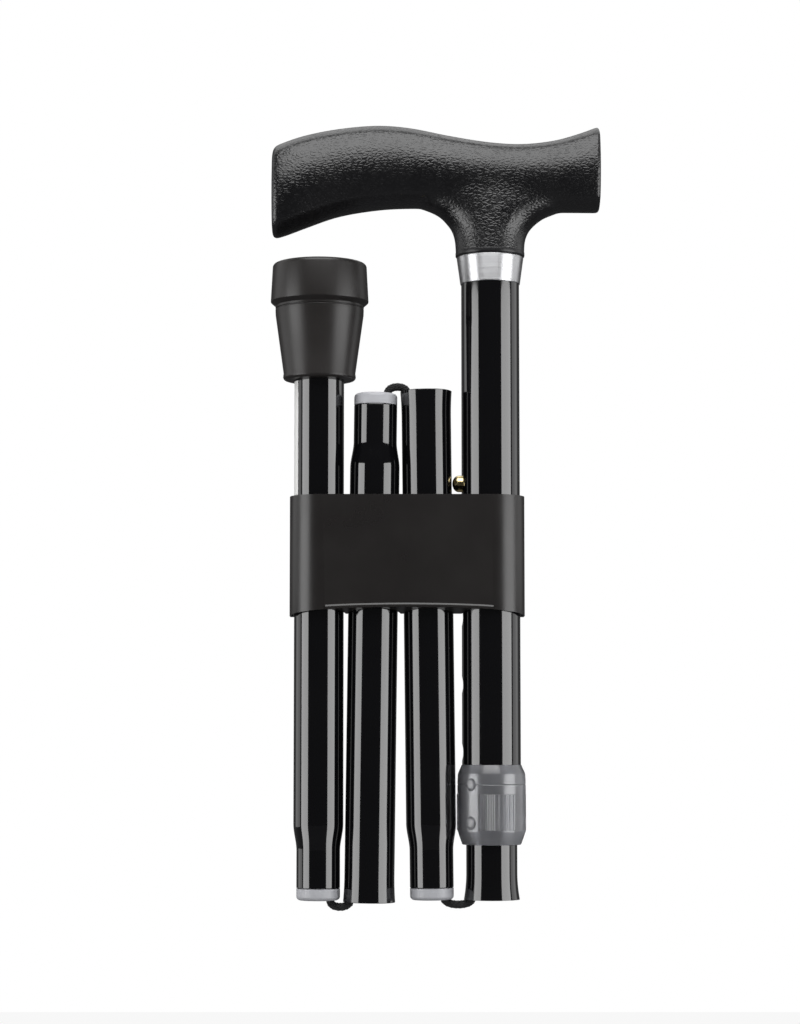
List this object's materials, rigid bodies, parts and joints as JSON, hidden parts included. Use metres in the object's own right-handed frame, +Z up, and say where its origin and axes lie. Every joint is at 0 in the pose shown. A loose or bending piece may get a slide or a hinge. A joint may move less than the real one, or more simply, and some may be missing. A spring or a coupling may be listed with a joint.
{
  "type": "folding cane",
  "caption": "Folding walking cane, folded flat: derby grip, height-adjusting shaft with snap button and lock nut, corded tube sections in a holder, and a rubber tip.",
  "frame": {"origin": "middle of the hand grip on the axis of the upper shaft tube", "axes": "+Z up the shaft towards the grip's crest, +X from the rubber tip to the shaft, +Y to the back of the holder"},
  "size_m": [0.1259, 0.0374, 0.2994],
  "materials": {
    "leather_grain": "leather-grained black moulding, satin",
    "ferrule_aluminium": "fine brushed",
    "tube_black": "gloss black enamel on drawn tube",
    "collet_grey": "moulded",
    "nut_clear": "smoky translucent moulding",
    "holder_black": "satin moulded",
    "bush_white": "moulded",
    "anchor_grey": "moulded",
    "button_brass": "polished",
    "spring_steel": "bright rolled",
    "cord_black": "braided elastic",
    "bush_grey": "satin moulded",
    "tip_rubber": "matt moulded rubber",
    "label_white": "blank satin film"
  },
  "bodies": {
    "upper": {"handle": "leather_grain", "ferrule": "ferrule_aluminium", "outer_tube": "tube_black", "collet": "collet_grey"},
    "nut": {"lock_nut": "nut_clear"},
    "holder": {"holder": "holder_black"},
    "inner": {"inner_tube": "tube_black", "glide_bush": "bush_white", "upper_cord_anchor": "anchor_grey", "cord_run_1": "cord_black"},
    "button": {"snap_button": "button_brass", "button_spring": "spring_steel"},
    "loop_1": {"cord_loop_1": "cord_black"},
    "run_2": {"cord_run_2": "cord_black"},
    "section_2": {"tube_2": "tube_black", "end_bush_2": "bush_grey"},
    "loop_2": {"cord_loop_2": "cord_black"},
    "run_3": {"cord_run_3": "cord_black"},
    "section_3": {"tube_3": "tube_black", "end_bush_3": "bush_grey"},
    "loop_3": {"cord_loop_3": "cord_black"},
    "run_4": {"cord_run_4": "cord_black"},
    "section_4": {"tube_4": "tube_black", "end_bush_4": "bush_grey", "rubber_tip": "tip_rubber", "tip_washer": "spring_steel", "lower_cord_anchor": "anchor_grey", "label": "label_white"}
  },
  "joints": [
    {"name": "height_slide", "type": "slide", "parent": "upper", "child": "inner", "axis": [0, 0, -1], "range_m": [0, 0.1016], "deforming": ["snap_button", "button_spring"]},
    {"name": "nut_turn", "type": "hinge", "parent": "upper", "child": "nut", "pos_m": [0, 0, -0.2411], "axis": [0, 0, 1], "range_deg": [0, 270]},
    {"name": "holder_pull", "type": "slide", "parent": "upper", "child": "holder", "axis": [0, -1, 0], "range_m": [0, 0.0715]},
    {"name": "button_press", "type": "slide", "parent": "inner", "child": "button", "axis": [1, 0, 0], "range_m": [0, 0.0035], "stiffness_N_per_m": 2000},
    {"name": "fold_1", "type": "hinge", "parent": "inner", "child": "loop_1", "pos_m": [-0.01109, 0, -0.3061], "axis": [-1, 0, -0.0055], "range_deg": [0, 180], "deforming": ["cord_loop_1", "cord_run_1"]},
    {"name": "shift_1", "type": "slide", "parent": "loop_1", "child": "run_2", "axis": [0.3588, 0, -0.9334], "range_m": [0, 0.06362]},
    {"name": "seat_2", "type": "slide", "parent": "run_2", "child": "section_2", "axis": [0.0109, 0, -0.9999], "range_m": [0, 0.0225]},
    {"name": "seat_3", "type": "slide", "parent": "section_2", "child": "loop_2", "axis": [0.0109, 0, -0.9999], "range_m": [0, 0.02251]},
    {"name": "fold_2", "type": "hinge", "parent": "loop_2", "child": "run_3", "pos_m": [-0.03413, 0, -0.05455], "axis": [1, 0, -0.0008], "range_deg": [0, 180.01], "deforming": ["cord_loop_2", "cord_run_2"]},
    {"name": "shift_2", "type": "slide", "parent": "run_3", "child": "section_3", "axis": [0.3063, 0, 0.9519], "range_m": [0, 0.0625]},
    {"name": "seat_4", "type": "slide", "parent": "section_3", "child": "loop_3", "axis": [0.0125, 0, 0.9999], "range_m": [0, 0.02251]},
    {"name": "fold_3", "type": "hinge", "parent": "loop_3", "child": "run_4", "pos_m": [-0.05586, 0, -0.3067], "axis": [-1, 0, 0.0063], "range_deg": [0, 180.01], "deforming": ["cord_loop_3", "cord_run_3", "cord_run_4"]},
    {"name": "shift_3", "type": "slide", "parent": "run_4", "child": "section_4", "axis": [0.3004, 0, -0.9538], "range_m": [0, 0.06252]}
  ],
  "couplings": [
    {"joint": "holder_pull", "follows": "height_slide", "ratio": 0.7},
    {"joint": "shift_1", "follows": "fold_1", "m_per_rad": 0.020248},
    {"joint": "fold_2", "follows": "fold_1", "ratio": 1},
    {"joint": "seat_3", "follows": "seat_2", "ratio": 1},
    {"joint": "shift_2", "follows": "fold_1", "m_per_rad": 0.019891},
    {"joint": "fold_3", "follows": "fold_1", "ratio": 1},
    {"joint": "seat_4", "follows": "seat_2", "ratio": 1},
    {"joint": "shift_3", "follows": "fold_1", "m_per_rad": 0.019896}
  ]
}
